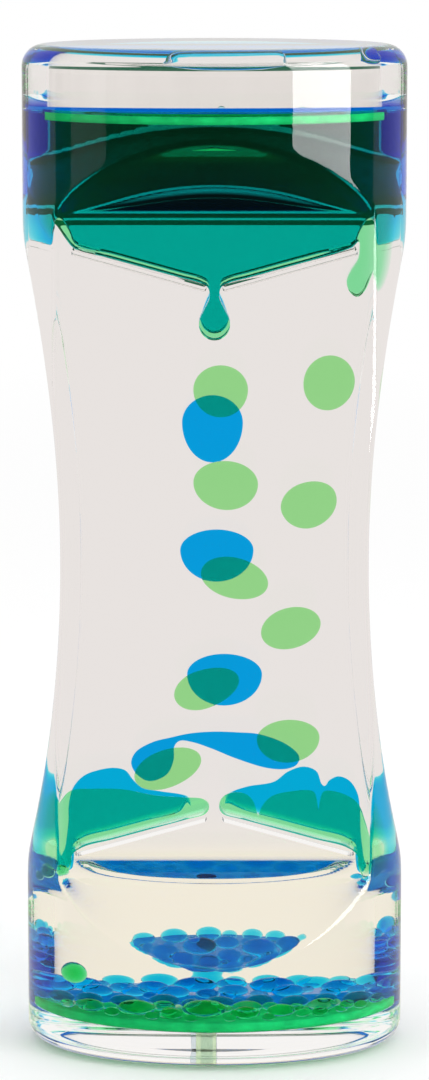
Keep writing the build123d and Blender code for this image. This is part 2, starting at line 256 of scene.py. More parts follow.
def add_waviness(nodes, links, shader, scale, strength, distance):
    """Faint unevenness of a surface, as bump."""
    place = nodes.new("ShaderNodeTexCoord")
    noise = nodes.new("ShaderNodeTexNoise")
    bump = nodes.new("ShaderNodeBump")
    noise.inputs["Scale"].default_value = scale
    noise.inputs["Detail"].default_value = 3
    bump.inputs["Strength"].default_value = strength
    bump.inputs["Distance"].default_value = distance
    links.new(place.outputs["Object"], noise.inputs["Vector"])
    links.new(noise.outputs["Fac"], bump.inputs["Height"])
    links.new(bump.outputs["Normal"], shader.inputs["Normal"])
    return noise


def add_haze(nodes, links, shader, noise, least, most):
    """Roughness that follows the same unevenness."""
    span = nodes.new("ShaderNodeMapRange")
    span.inputs["From Min"].default_value = HAZE_STARTS
    span.inputs["From Max"].default_value = HAZE_ENDS
    span.inputs["To Min"].default_value = least
    span.inputs["To Max"].default_value = most
    links.new(noise.outputs["Fac"], span.inputs["Value"])
    links.new(span.outputs["Result"], shader.inputs["Roughness"])


def ramp_of(nodes, links, factor, stops):
    """Colour ramp with stops of a position and a colour."""
    ramp = nodes.new("ShaderNodeValToRGB")
    for position, _ in stops[1:-1]:
        ramp.color_ramp.elements.new(position)
    for element, (position, colour) in zip(ramp.color_ramp.elements, stops):
        element.position = position
        element.color = (*colour, 1)
    links.new(factor, ramp.inputs["Fac"])
    return ramp.outputs["Color"]


def clear_material(name, ior, tint, waviness, mirror=1.0):
    """Clear acrylic, as it bends light against what lies on the other side of its surface."""
    material, nodes, links, shader = new_material(name)
    shader.inputs["Base Color"].default_value = (*tint, 1)
    shader.inputs["Transmission Weight"].default_value = 1
    shader.inputs["IOR"].default_value = ior
    noise = add_waviness(nodes, links, shader, scale=38, strength=waviness, distance=0.0004)
    shader.inputs["Specular Tint"].default_value = (mirror, mirror, mirror, 1)
    add_haze(nodes, links, shader, noise, least=0.0, most=0.012)
    return material


def liquid_material(name, kept, depth, ior=1.005):
    """Dyed liquid that lets the given share of red, green and blue through at a depth in mm."""
    material, nodes, links, shader = new_material(name)
    shader.inputs["Base Color"].default_value = (*WHITE, 1)
    shader.inputs["Transmission Weight"].default_value = 1
    shader.inputs["IOR"].default_value = ior
    noise = add_waviness(nodes, links, shader, scale=160, strength=0.03, distance=0.0003)
    add_haze(nodes, links, shader, noise, least=0.0, most=0.02)
    lost = [-math.log(share) / (depth * MM) for share in kept]
    density = max(lost) * DYE_HEADROOM
    dye = nodes.new("ShaderNodeVolumeAbsorption")
    dye.inputs["Color"].default_value = (*[1 - part / density for part in lost], 1)
    dye.inputs["Density"].default_value = density
    links.new(dye.outputs["Volume"], nodes["Material Output"].inputs["Volume"])
    return material


def settled_material(name, colour, kept, depth, clear):
    """Dyed liquid settled on the floor: a crowd of the finest beads, so cloudy in itself."""
    material = liquid_material(name, kept, depth, ior=1.04)
    nodes, links = material.node_tree.nodes, material.node_tree.links
    shader = nodes["Principled BSDF"]
    shader.inputs["Transmission Weight"].default_value = clear
    cloud = nodes.new("ShaderNodeTexNoise")
    cloud.inputs["Scale"].default_value = 420
    place = nodes.new("ShaderNodeTexCoord")
    links.new(place.outputs["Object"], cloud.inputs["Vector"])
    shades = [(0.35, tuple(0.75 * part for part in colour)), (0.7, colour)]
    links.new(ramp_of(nodes, links, cloud.outputs["Fac"], shades), shader.inputs["Base Color"])
    return material


def pin_material(name, colour):
    """Dull, tinted and nearly clear plastic of a fill pin."""
    material, nodes, links, shader = new_material(name)
    noise = add_waviness(nodes, links, shader, scale=900, strength=0.25, distance=0.0002)
    shades = [(0.0, tuple(0.82 * part for part in colour)), (1.0, colour)]
    links.new(ramp_of(nodes, links, noise.outputs["Fac"], shades), shader.inputs["Base Color"])
    shader.inputs["Transmission Weight"].default_value = 0.95
    shader.inputs["IOR"].default_value = 1.05
    shader.inputs["Roughness"].default_value = 0.2
    return material


ACRYLIC = clear_material(
    "clear_acrylic_outside", ior=1.49, tint=(1.0, 0.995, 0.985), waviness=0.05, mirror=0.45
)
WETTED = clear_material("clear_acrylic_wetted", ior=1.015, tint=WHITE, waviness=0.03)
RAMP = clear_material("clear_ramp_strip", ior=1.008, tint=WHITE, waviness=0.03)
BUBBLE = clear_material("air_bubble_skin", ior=1.36, tint=WHITE, waviness=0.05)
FILM = clear_material("clear_level_film", ior=1.12, tint=WHITE, waviness=0.02)
GREEN_DROP = liquid_material("green_drop_liquid", kept=(0.36, 0.84, 0.33), depth=6.9)
BLUE_DROP = liquid_material("blue_drop_liquid", kept=(0.002, 0.43, 0.95), depth=6.9)
GREEN_POOL = liquid_material("green_pool_liquid", kept=(0.26, 0.88, 0.42), depth=7.3)
BLUE_POOL = liquid_material("blue_pool_liquid", kept=(0.001, 0.52, 0.90), depth=7.3)
GREEN_BEAD = liquid_material("green_bead_liquid", kept=(0.1, 0.78, 0.40), depth=3.6, ior=1.04)
BLUE_BEAD = liquid_material("blue_bead_liquid", kept=(0.01, 0.56, 0.93), depth=3.4, ior=1.04)
GREEN_SETTLED = settled_material(
    "green_settled_liquid", colour=(0.02, 0.95, 0.28), kept=(0.3, 0.92, 0.6), depth=4.5, clear=0.2
)
BLUE_SETTLED = settled_material(
    "blue_settled_liquid", colour=(0.02, 0.38, 0.95), kept=(0.1, 0.7, 0.95), depth=4.5, clear=0.8
)
GREEN_STRAY = liquid_material("green_stray_liquid", kept=(0.1, 0.78, 0.3), depth=2.4, ior=1.03)
BLUE_STRAY = liquid_material("blue_stray_liquid", kept=(0.005, 0.40, 0.87), depth=2.4, ior=1.03)
POOLS = {FRONT: GREEN_POOL, REAR: BLUE_POOL}
DROPS = {FRONT: GREEN_DROP, REAR: BLUE_DROP}
BEADS = {FRONT: GREEN_BEAD, REAR: BLUE_BEAD}
SETTLED = {FRONT: GREEN_SETTLED, REAR: BLUE_SETTLED}


# Vessel

def make_vessel():
    """The welded vessel in one mesh: outer skin and the skins of the two chambers."""
    past_waist = 0.4
    corner = math.degrees(math.atan2(HALF_FACE, HALF_WAIST + past_waist))
    corners = [corner, 180 - corner, 180 + corner, 360 - corner]
    outer_angles = spread_angles(corners, reach=7, step=1.5, fine=0.5)
    inner_angles = spread_angles([0, 180], reach=24, step=2.5, fine=0.8)
    rows = skin(lambda z, inset: vessel_section(z, inset, outer_angles), 0, HEIGHT, RIM_ROUND, FOOT)
    points, faces = list(np.concatenate(rows)), stitched(rows, 0)
    outer_count = len(faces)
    for side in (FRONT, REAR):
        rows = skin(
            lambda z, inset: chamber_section(z, inset, inner_angles, side),
            BASE_WALL, HEIGHT - TOP_WALL, CAVITY_ROUND,
        )
        chamber = stitched(rows, len(points))
        faces += chamber if side == FRONT else [list(reversed(face)) for face in chamber]
        points += list(np.concatenate(rows))
    vessel = make_piece("vessel_skin", points, faces, [ACRYLIC, WETTED])
    for face in list(vessel.data.polygons)[outer_count:]:
        face.material_index = 1
    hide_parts("front_shell", "rear_shell", "divider_plate")


# Ramps

def make_ramp(side, hand, upper):
    """One sloping strip with rounded long edges, across a chamber."""
    length = (RAMP_TIP - RAMP_EDGE) * math.hypot(1, RAMP_SLOPE)
    corner = RAMP_THICKNESS * RAMP_ROUND
    outline = []
    for turn in range(4):
        middle_x = (length / 2 - corner) * (1 if turn in (0, 3) else -1)
        middle_z = (RAMP_THICKNESS / 2 - corner) * (1 if turn < 2 else -1)
        for angle in np.radians(np.linspace(90 * turn, 90 * turn + 90, 7)):
            outline.append((middle_x + corner * math.cos(angle), middle_z + corner * math.sin(angle)))
    lean = math.atan(RAMP_SLOPE) * (hand if upper else -hand)
    edge = UPPER_EDGE if upper else LOWER_EDGE
    fall = (RAMP_TIP - RAMP_EDGE) * RAMP_SLOPE / 2
    height = edge + fall if upper else edge - fall
    turned = np.array([[math.cos(lean), math.sin(lean)], [-math.sin(lean), math.cos(lean)]])
    outline = np.array(outline) @ turned
    outline += (hand * (RAMP_TIP + RAMP_EDGE) / 2, height)
    depths = (HALF_DIVIDER + GLUE_GAP, HALF_FACE - FACE_WALL - GLUE_GAP)
    rows = []
    for depth in depths:
        rows.append(np.column_stack([outline[:, 0], np.full(len(outline), side * depth), outline[:, 1]]))
    name = f"{SIDE_NAMES[side]}_{'upper' if upper else 'lower'}_{HAND_NAMES[hand]}_ramp"
    piece = make_piece(f"{name}_strip", np.concatenate(rows), stitched(rows, 0), [RAMP])
    face_outwards(piece)
    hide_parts(name)


# Outlines of liquid, in the XZ plane

WALL_MARGIN = 0.05
EDGE_ROWS = (0.03, 0.12, 0.28, 0.5, 0.75, 1.0)
ROW_KEPT = 0.93
INNER_STEP = 1.1
INNER_MARGIN = 0.3
INSIDE_ONLY = 1
CLOSENESS = 1e-5
LEAST_DEPTH = 0.05
LEAN_AT_LEVEL = 0.048
LEAN_PER_MM = 0.00101
CREST_HEIGHT = 2.0


def resampled(outline, step=0.3):
    """A closed outline with evenly spaced points."""
    closed = np.vstack([outline, outline[:1]])
    along = np.concatenate([[0], np.cumsum(np.hypot(*np.diff(closed, axis=0).T))])
    places = np.linspace(0, along[-1], max(24, int(along[-1] / step)), endpoint=False)
    return np.column_stack([np.interp(places, along, closed[:, k]) for k in (0, 1)])


def smooth_closed(points, per_span=14):
    """Closed curve through points given in order, free of loops where they lie close together."""
    p1 = np.asarray(points, float)
    p0, p2, p3 = (np.roll(p1, shift, axis=0) for shift in (1, -1, -2))
    gaps = [np.sqrt(np.hypot(*(b - a).T))[:, None, None] for a, b in ((p0, p1), (p1, p2), (p2, p3))]
    t1 = gaps[0]
    t2 = t1 + gaps[1]
    t3 = t2 + gaps[2]
    t = t1 + np.linspace(0, 1, per_span, endpoint=False)[None, :, None] * gaps[1]
    p0, p1, p2, p3 = (p[:, None, :] for p in (p0, p1, p2, p3))
    a1 = p0 + (p1 - p0) * t / t1
    a2 = p1 + (p2 - p1) * (t - t1) / (t2 - t1)
    a3 = p2 + (p3 - p2) * (t - t2) / (t3 - t2)
    b1 = a1 + (a2 - a1) * t / t2
    b2 = a2 + (a3 - a2) * (t - t1) / (t3 - t1)
    curve = b1 + (b2 - b1) * (t - t1) / (t2 - t1)
    return resampled(curve.reshape(-1, 2))


def anticlockwise(outline):
    """The outline, turned round where it runs clockwise."""
    following = np.roll(outline, -1, axis=0)
    area = np.sum(outline[:, 0] * following[:, 1] - following[:, 0] * outline[:, 1])
    return outline if area > 0 else outline[::-1]


def inwards(outline):
    """Inward directions along an anticlockwise outline."""
    along = np.roll(outline, -1, axis=0) - np.roll(outline, 1, axis=0)
    along /= np.maximum(np.hypot(along[:, 0], along[:, 1]), 1e-9)[:, None]
    return np.column_stack([-along[:, 1], along[:, 0]])


def drawn_in(outline, distance):
    """An anticlockwise outline moved inwards by a distance."""
    return outline + distance * inwards(outline)


def edge_distance(outline, points):
    """Distance from points to the nearest stretch of an outline."""
    along = np.roll(outline, -1, axis=0) - outline
    apart = points[:, None, :] - outline[None, :, :]
    share = np.clip(np.sum(apart * along, axis=2) / np.sum(along ** 2, axis=1), 0, 1)
    return np.min(np.hypot(*np.moveaxis(apart - share[:, :, None] * along, 2, 0)), axis=1)


def inside(outline, points):
    """Whether points lie inside an outline."""
    following = np.roll(outline, -1, axis=0)
    x, z = points[:, :1], points[:, 1:]
    crosses = (outline[:, 1] > z) != (following[:, 1] > z)
    rise = np.where(following[:, 1] == outline[:, 1], 1, following[:, 1] - outline[:, 1])
    at = outline[:, 0] + (z - outline[:, 1]) * (following[:, 0] - outline[:, 0]) / rise
    return np.count_nonzero(crosses & (x < at), axis=1) % 2 == 1


def kept_off_walls(outline):
    """An outline held inside the chamber's side walls."""
    widest = HALF_WIDTH - SIDE_WALL - WALL_MARGIN
    wall = np.minimum(waist_half(outline[:, 1], SIDE_WALL), widest) - LIQUID_GAP
    return np.column_stack([np.clip(outline[:, 0], -wall, wall), outline[:, 1]])


def front_depth(x, z):
    """Distance from the middle plane to the chamber's front wall at x and height z."""
    half_width, half_depth = HALF_WIDTH - SIDE_WALL, HALF_DEPTH - FACE_WALL
    oval = half_depth * np.sqrt(np.maximum(1 - (x / half_width) ** 2, 0))
    return np.minimum(face_half(z, FACE_WALL), oval) - LIQUID_GAP


def inner_points(outline, edge):
    """Points inside an outline: rows along its rounded edge, then an even spread."""
    rows = []
    for share in EDGE_ROWS:
        row = drawn_in(outline, share * edge)
        rows.append(row[edge_distance(outline, row) > ROW_KEPT * share * edge])
    low, high = outline.min(axis=0), outline.max(axis=0)
    across = np.arange(low[0], high[0], INNER_STEP)
    upwards = np.arange(low[1], high[1], INNER_STEP)
    spread = np.stack(np.meshgrid(across, upwards), -1).reshape(-1, 2)
    rows.append(spread[edge_distance(outline, spread) > edge + INNER_MARGIN])
    points = np.concatenate(rows)
    return points[inside(outline, points)]


def slab(outline, near, far, edge):
    """Closed form of an outline between depth near and depths far(x, z), with rounded edges."""
    outline = anticlockwise(outline)
    count = len(outline)
    spots = np.concatenate([outline, inner_points(outline, edge)])
    loop = [(i, (i + 1) % count) for i in range(count)]
    given_spots = [tuple(spot) for spot in spots]
    flat, _, cells, origin, _, _ = delaunay_2d_cdt(given_spots, loop, [], INSIDE_ONLY, CLOSENESS)
    flat = np.array(flat)
    on_edge = {min(given): i for i, given in enumerate(origin) if given and min(given) < count}
    away = np.minimum(edge_distance(outline, flat) / edge, 1)
    away[list(on_edge.values())] = 0
    lift = edge * (1 - np.sqrt(1 - (1 - away) ** 2))
    back = near + lift
    front = np.maximum(far(flat[:, 0], flat[:, 1]) - lift, back + LEAST_DEPTH)
    points = np.concatenate([np.column_stack([flat[:, 0], depth, flat[:, 1]]) for depth in (back, front)])
    faces = [list(cell) for cell in cells] + [[i + len(flat) for i in reversed(cell)] for cell in cells]
    ring = [on_edge[k] for k in range(count)]
    for here, after in zip(ring, ring[1:] + ring[:1]):
        faces.append([after, here, here + len(flat), after + len(flat)])
    return points, faces


def leaned(points, side, share):
    """Points moved up towards the front and down towards the back, less so high up in the vessel."""
    depth = points[:, 1]
    slope = LEAN_AT_LEVEL + LEAN_PER_MM * (LEVEL - points[:, 2])
    points[:, 2] -= side * slope * share * (depth - (depth.min() + depth.max()) / 2)


def make_liquid(name, node, outline, side, material, edge, near=None, far=None, body="vessel", lean=None):
    """Dyed liquid of a given outline in one chamber, from the divider to the front wall if not told."""
    near = HALF_DIVIDER + LIQUID_GAP if near is None else near
    far = front_depth if far is None else (lambda x, z, depth=far: depth + 0 * x)
    points, faces = slab(outline, near, far, edge)
    if lean:
        leaned(points, side, lean(points))
    points[:, 1] *= side
    piece = make_piece(name, points, faces, [material], body)
    face_outwards(piece)
    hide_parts(node)


def free_lean(points):
    """A free drop leans as a whole."""
    return 1.0


def crest_lean(points):
    """Liquid on a lower ramp leans at its crest, not where it lies on the ramp or hangs from its tip."""
    above = points[:, 2] - lower_seat(np.abs(points[:, 0]))
    return np.clip(above / CREST_HEIGHT, 0, 1)


def upper_seat(x):
    """Height at which liquid lies on an upper ramp."""
    return UPPER_EDGE + (abs(x) - RAMP_EDGE) * RAMP_SLOPE + RAMP_SEAT + LIQUID_GAP


def lower_seat(x):
    """Height at which liquid lies on a lower ramp."""
    return LOWER_EDGE - (abs(x) - RAMP_EDGE) * RAMP_SLOPE + RAMP_SEAT + LIQUID_GAP


# Liquid in the funnel, with the drop that hangs in the slot

BULB_BELOW_EDGE = 5.3
BULBS = {FRONT: 2.27, REAR: 2.0}
FUNNEL_EDGES = {
    FRONT: [(-24.6, 128.6), (-23.6, 127.4), (-23.2, 126.0), (-22.8, 124.2), (-21.7, 122.4)],
    REAR: [(-24.9, 132.0), (-24.3, 130.2), (-23.6, 128.0), (-22.6, 125.4), (-21.4, 123.0)],
}


def upper_outline(side, drip):
    """Outline of a funnel's liquid, with or without a drip that runs off the right ramp's outer tip."""
    bulb = BULBS[side]
    left_edge = FUNNEL_EDGES[side]
    wall = HALF_WIDTH - SIDE_WALL
    ramp = [(x, upper_seat(x)) for x in (-20.4, -15.0, -10.0, -5.0, -2.0)]
    neck = [(-1.0, 115.2), (-0.72, 114.4), (-0.74, 113.4), (-1.25, 112.2)]
    low = UPPER_EDGE - BULB_BELOW_EDGE
    drop = [(bulb * math.sin(t), low - bulb * math.cos(t)) for t in np.radians(np.linspace(-105, 105, 9))]
    down = left_edge + ramp + neck
    back = [(-x, z) for x, z in reversed(ramp + neck)]
    right_edge = [(-x, z) for x, z in reversed(left_edge)]
    if drip:
        back[-1] = (20.0, upper_seat(20.0) + 0.25)
        inner = [(21.0, 121.9), (21.15, 120.4), (20.9, 119.0), (19.9, 117.4), (19.3, 115.9)]
        outer = [(19.7, 114.5), (20.8, 113.8), (21.9, 114.7), (22.9, 117.2), (23.4, 120.4), (23.7, 123.4)]
        right_edge = inner + outer + [(24.0, 125.6), (24.7, 128.6)]
    side_up = [(24.95, 131.0), (wall, 135.0), (wall, LEVEL - 0.4), (wall - 0.4, LEVEL)]
    top = [(x, LEVEL) for x in (18.0, 6.0, -6.0, -18.0)]
    side_down = [(-x, z) for x, z in reversed(side_up)]
    return kept_off_walls(smooth_closed(down + drop + back + right_edge + side_up + top + side_down))


# Liquid on the lower ramps, from the slot out to the side wall, and back along the ramp

LOWER_CRESTS = {
    (FRONT, LEFT): [
        (0.8, 37.4), (1.6, 38.3), (5.0, 38.6), (8.9, 38.9), (13.6, 39.8), (18.0, 39.9), (21.4, 39.6),
        (22.8, 38.0),
    ],
    (FRONT, RIGHT): [
        (0.7, 37.4), (1.2, 38.6), (2.5, 39.3), (4.4, 39.2), (5.6, 38.3), (6.25, 36.6), (6.5, 35.8),
        (6.8, 36.6), (7.4, 37.7), (8.6, 38.8), (11.3, 39.5), (14.7, 39.5), (15.2, 38.3), (15.45, 36.6),
        (15.75, 38.3), (16.3, 39.5), (18.7, 39.3), (21.2, 37.8),
    ],
    (REAR, LEFT): [
        (3.6, 36.2), (4.2, 37.2), (8.2, 38.0), (10.8, 38.5), (12.2, 39.7), (13.4, 41.2), (15.0, 41.6),
        (17.3, 41.3), (19.6, 40.4), (21.2, 38.6),
    ],
    (REAR, RIGHT): [
        (1.6, 36.6), (2.3, 37.7), (4.8, 38.7), (9.0, 39.5), (11.0, 41.0), (13.4, 41.8), (15.3, 41.1),
        (16.1, 39.1), (16.6, 38.8), (17.3, 39.7), (18.7, 40.3), (20.3, 39.6), (21.5, 37.6),
    ],
}
LOWER_TAILS = {
    (FRONT, LEFT): [(23.6, 35.0), (24.0, 31.0), (24.2, 29.0), (23.3, 27.9), (22.0, 27.7), (21.4, 28.8)],
    (FRONT, RIGHT): [(22.4, 35.0), (23.2, 31.0), (23.5, 28.6), (23.1, 26.8), (22.2, 26.8), (21.5, 28.4)],
    (REAR, LEFT): [
        (21.9, 36.0), (22.0, 33.0), (22.6, 29.6), (22.9, 27.6), (22.3, 26.0), (21.5, 26.4), (21.2, 28.0),
    ],
    (REAR, RIGHT): [
        (21.9, 35.0), (22.0, 32.0), (22.5, 28.6), (22.7, 26.6), (22.2, 25.4), (21.6, 26.0), (21.3, 27.8),
    ],
}


def lower_outline(side, hand):
    """Outline of the liquid on a lower ramp: its crest, the tail at the ramp's outer tip, and its seat."""
    crest = LOWER_CRESTS[side, hand]
    inner = crest[0][0]
    under_tip = [(21.3, 30.2)]
    seat = [(x, lower_seat(x)) for x in (19.8, 15.0, 10.0, max(inner + 1.6, 4.4))]
    toe = [(inner + 0.5, lower_seat(RAMP_EDGE) + 0.05)]
    points = crest + LOWER_TAILS[side, hand] + under_tip + seat + toe
    return kept_off_walls(smooth_closed([(hand * x, z) for x, z in points]))


# The long blue drop, drawn out over the lower slot
RIBBON = [
    (-12.5, 42.4), (-11.8, 44.1), (-9.3, 45.6), (-6.6, 46.3), (-3.9, 46.9), (-0.4, 47.2), (3.5, 47.1),
    (6.8, 46.8), (10.9, 45.2), (12.7, 43.4), (12.4, 42.2), (10.9, 41.5), (8.0, 41.6), (3.2, 43.1),
    (-0.4, 44.6), (-3.3, 45.6), (-5.2, 45.8), (-6.0, 45.0), (-6.15, 42.8), (-7.2, 40.6), (-9.8, 39.6),
    (-11.7, 40.7),
]


# Drops: their outlines come from the frame's own drops

DROP_EDGE = 0.5


def bends_left(first, second, third):
    """Whether the way over three flat points bends to the left."""
    along = np.subtract(second, first)
    onwards = np.subtract(third, second)
    return along[0] * onwards[1] - along[1] * onwards[0] > 0


def hull(points):
    """Outline round a set of flat points."""
    points = sorted(map(tuple, np.round(points, 4)))

    def half(way):
        """The upper or the lower half of the outline, over points in order."""
        chain = []
        for p in way:
            while len(chain) > 1 and not bends_left(chain[-2], chain[-1], p):
                chain.pop()
            chain.append(p)
        return chain[:-1]
    return np.array(half(points) + half(points[::-1]))


def node_points(node):
    """Points of a frame node in millimetres."""
    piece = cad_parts[node]
    return np.array([piece.matrix_world @ v.co for v in piece.data.vertices]) / MM


def make_drop(node, side, body):
    """A falling drop: a plump cushion between the chamber's faces, with the frame drop's outline."""
    points = node_points(node)
    outline = resampled(hull(points[:, [0, 2]]))
    depths = np.abs(points[:, 1])
    near, far = float(depths.min()), float(depths.max())
    make_liquid(f"{node}_body", node, outline, side, DROPS[side], DROP_EDGE, near, far, body, free_lean)


# Settled beads on the floor: a bead is as tall as the least height and a share of its width

BEAD_LEAST = 0.5
BEAD_SHARE = 0.32
BEAD_SAG = 0.06
BEAD_LIFT = 0.05
BEAD_REACH = 24
DIVIDER_MARGIN = 0.2
SIDE_MARGIN = 0.3
WELD_DISTANCE = 1e-7
POOL_DEPTH = 1.6
ROUND_FROM_DIVIDER = 0.5
STRAIGHT_SHORTER = 0.4

# Rows of the floor pool from below: distance from the walls and height over the floor
POOL_PROFILE = ((0.8, 0.12), (0.53, 0.3), (0.35, 0.6), (0.35, POOL_DEPTH - 0.15), (0.55, POOL_DEPTH))

# Crowds of beads: least and greatest width, and how many places are tried
BEAD_CROWDS = (((5.0, 6.6), 4), ((2.6, 4.2), 300), ((1.6, 2.5), 900))


def ball(middle, width, squash, rings=9, turns=16):
    """Points and faces of a round drop that sags a little under its own weight."""
    points = []
    for ring in range(rings + 1):
        polar = math.pi * ring / rings
        belly = math.sin(polar) * (1 + BEAD_SAG * math.cos(polar))
        for turn in range(turns):
            angle = 2 * math.pi * turn / turns
            points.append((
                middle[0] + width / 2 * belly * math.cos(angle),
                middle[1] + width / 2 * belly * math.sin(angle),
                middle[2] - width / 2 * squash * math.cos(polar),
            ))
    faces = []
    for ring in range(rings):
        for turn in range(turns):
            after = (turn + 1) % turns
            low, high = ring * turns, (ring + 1) * turns
            faces.append([low + turn, low + after, high + after, high + turn])
    return points, faces


def make_balls(name, balls, material):
    """Many round drops in one piece."""
    points, faces = [], []
    for middle, width, squash in balls:
        more, cells = ball(middle, width, squash)
        faces += [[len(points) + i for i in cell] for cell in cells]
        points += more
    piece = make_piece(name, points, faces, [material])
    face_outwards(piece, weld=WELD_DISTANCE)


def bead_places(chance, start, widths, tries, taken):
    """Places on a chamber's floor for beads of the given widths, largest first, none of them touching."""
    for width in sorted((chance.uniform(*widths) for _ in range(tries)), reverse=True):
        x = chance.uniform(-BEAD_REACH, BEAD_REACH)
        near = HALF_DIVIDER + DIVIDER_MARGIN + width / 2
        room = float(front_depth(x, start)) - width / 2 - near
        y = near + room * chance.random()
        narrowing = math.sqrt(max(0, 1 - (y / (HALF_DEPTH - FACE_WALL)) ** 2))
        wall = (HALF_WIDTH - SIDE_WALL - SIDE_MARGIN) * narrowing
        free = all(math.dist((x, y), other[:2]) > (width + other[2]) / 2 for other in taken)
        if room > 0 and free and abs(x) + width / 2 < wall:
            taken.append((x, y, width))


def make_floor(side):
    """Settled liquid on a chamber's floor, under a crowd of flat beads that have not merged yet."""
    chance = random.Random(SEED + side)
    top = BASE_WALL + POOL_DEPTH
    depth = HALF_DEPTH - FACE_WALL
    width = HALF_WIDTH - SIDE_WALL
    start = math.asin((HALF_DIVIDER + ROUND_FROM_DIVIDER) / depth)
    outline = [(width * math.cos(a), depth * math.sin(a)) for a in np.linspace(start, math.pi - start, 90)]
    straight = width - STRAIGHT_SHORTER
    outline += [(x, HALF_DIVIDER) for x in np.linspace(-straight, straight, 60)]
    outline = anticlockwise(np.array(outline))
    rows = []
    for inset, rise in POOL_PROFILE:
        flat = drawn_in(outline, inset)
        rows.append(np.column_stack([flat[:, 0], side * flat[:, 1], np.full(len(flat), BASE_WALL + rise)]))
    layer = make_piece(
        f"{SIDE_NAMES[side]}_floor_pool", np.concatenate(rows), stitched(rows, 0),
        [SETTLED[side]],
    )
    face_outwards(layer)
    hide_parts(f"{SIDE_NAMES[side]}_floor_layer")
    found = []
    for widths, tries in BEAD_CROWDS:
        bead_places(chance, top, widths, tries, found)
    balls = []
    for x, y, wide in found:
        tall = BEAD_LEAST + BEAD_SHARE * wide
        balls.append(((x, side * y, top + BEAD_LIFT + tall / 2), wide, tall / wide))
    make_balls(f"{SIDE_NAMES[side]}_floor_beads", balls, BEADS[side])


# Small stray drops, the air bubbles and the level

# Stray drops: place, width and height as a share of the width
GREEN_STRAYS = [
    ((-19.8, -8.0, 12.4), 4.2, 0.75), ((-23.0, -4.0, 27.0), 2.4, 0.9), ((-24.2, -3.0, 26.0), 1.7, 0.9),
]
BLUE_STRAYS = [
    ((21.6, 8.0, 13.4), 4.2, 0.7), ((21.6, 4.6, 23.6), 2.1, 0.9), ((22.8, 4.0, 21.4), 2.3, 0.9),
    ((23.8, 3.4, 23.2), 2.0, 0.9),
]
LEVEL_BEADS = (-23.0, -21.8, 0.8, 10.4, 20.2, 23.4)
LEVEL_BEAD_DEPTHS = (5, 12)
LEVEL_BEAD_WIDTHS = (0.6, 1.1)
LEVEL_BEAD_LIFT = 0.5
LEVEL_BEAD_SQUASH = 0.9
CEILING_GAP = 0.08
BUBBLE_CROWN = 0.12


def make_strays():
    """Loose drops beside the lower ramps and tiny beads that ride on the upper level."""
    make_balls("front_stray_beads", GREEN_STRAYS, GREEN_STRAY)
    make_balls("rear_stray_beads", BLUE_STRAYS, BLUE_STRAY)
    chance = random.Random(SEED)
    level = []
    for x in LEVEL_BEADS:
        middle = (x, chance.uniform(*LEVEL_BEAD_DEPTHS), LEVEL + LEVEL_BEAD_LIFT)
        level.append((middle, chance.uniform(*LEVEL_BEAD_WIDTHS), LEVEL_BEAD_SQUASH))
    make_balls("rear_level_beads", level, BLUE_DROP)


def make_bubble(name, x, y, across, deep, thick):
    """Flat air bubble against the chamber's ceiling: a lens, fuller below than above."""
    ceiling = HEIGHT - TOP_WALL - CEILING_GAP
    rows = []
    pole = 0.02
    for polar in np.linspace(pole, math.pi - pole, 17):
        reach = math.sin(polar)
        lift = math.cos(polar) * (BUBBLE_CROWN if polar < math.pi / 2 else thick)
        angles = np.radians(np.arange(0, 360, 6))
        rows.append(np.column_stack([
            x + across / 2 * reach * np.cos(angles),
            y + deep / 2 * reach * np.sin(angles),
            np.full(len(angles), ceiling - BUBBLE_CROWN + lift),
        ]))
    bubble = make_piece(name, np.concatenate(rows), stitched(rows, 0), [BUBBLE])
    face_outwards(bubble, flip=True)


def make_meniscus(side, material):
    """Edge of a level drawn up a wall: the front wall of the front chamber, the divider in the rear one."""
    reach = 23.6
    foot, bend, tip = 0.06, 0.32, 0.85
    bend_at = 0.4
    front_width, rear_width = 2.2, 2.4
    rows = []
    for x in np.linspace(-reach, reach, 60):
        wall = float(front_depth(x, LEVEL)) if side == FRONT else HALF_DIVIDER + LIQUID_GAP
        off = wall - front_width if side == FRONT else wall + rear_width
        profile = [(wall, foot), (off, foot), (wall + bend_at * (off - wall), bend), (wall, tip)]
        rows.append(np.array([(x, side * depth, LEVEL + rise) for depth, rise in profile]))
    piece = make_piece(
        f"{SIDE_NAMES[side]}_level_edge", np.concatenate(rows), stitched(rows, 0), [material]
    )
    face_outwards(piece)


def make_level_band():
    """Cloudy rim of fine green beads that clings to the front wall at the level."""
    near, far = 0.04, 0.09
    low, high = LEVEL - 0.7, LEVEL + 0.45
    reach = 23.4
    rows = []
    for x in np.linspace(-reach, reach, 60):
        wall = float(front_depth(x, LEVEL)) + LIQUID_GAP
        corners = [(wall - near, low), (wall - near, high), (wall - far, high), (wall - far, low)]
        rows.append(np.array([(x, FRONT * depth, z) for depth, z in corners]))
    band = make_piece(
        "front_level_band", np.concatenate(rows), stitched(rows, 0), [GREEN_SETTLED]
    )
    face_outwards(band)


def make_level_film():
    """Thin skin on the rear level, which mirrors flat rays as the lighter dyed liquid does."""
    front, back = 3.9, 9.0
    under, over = 0.05, 0.15
    off_wall = 0.4
    spots = []
    for y in np.linspace(front, back, 12):
        narrowing = math.sqrt(1 - (y / (HALF_DEPTH - FACE_WALL)) ** 2)
        spots.append(((HALF_WIDTH - SIDE_WALL) * narrowing - off_wall, y))
    outline = spots + [(-x, y) for x, y in reversed(spots)]
    rows = [np.array([(x, y, LEVEL + rise) for x, y in outline]) for rise in (under, over)]
    film = make_piece("rear_level_film", np.concatenate(rows), stitched(rows, 0), [FILM])
    face_outwards(film, flip=True)


# Table, screen, light and camera, in metres

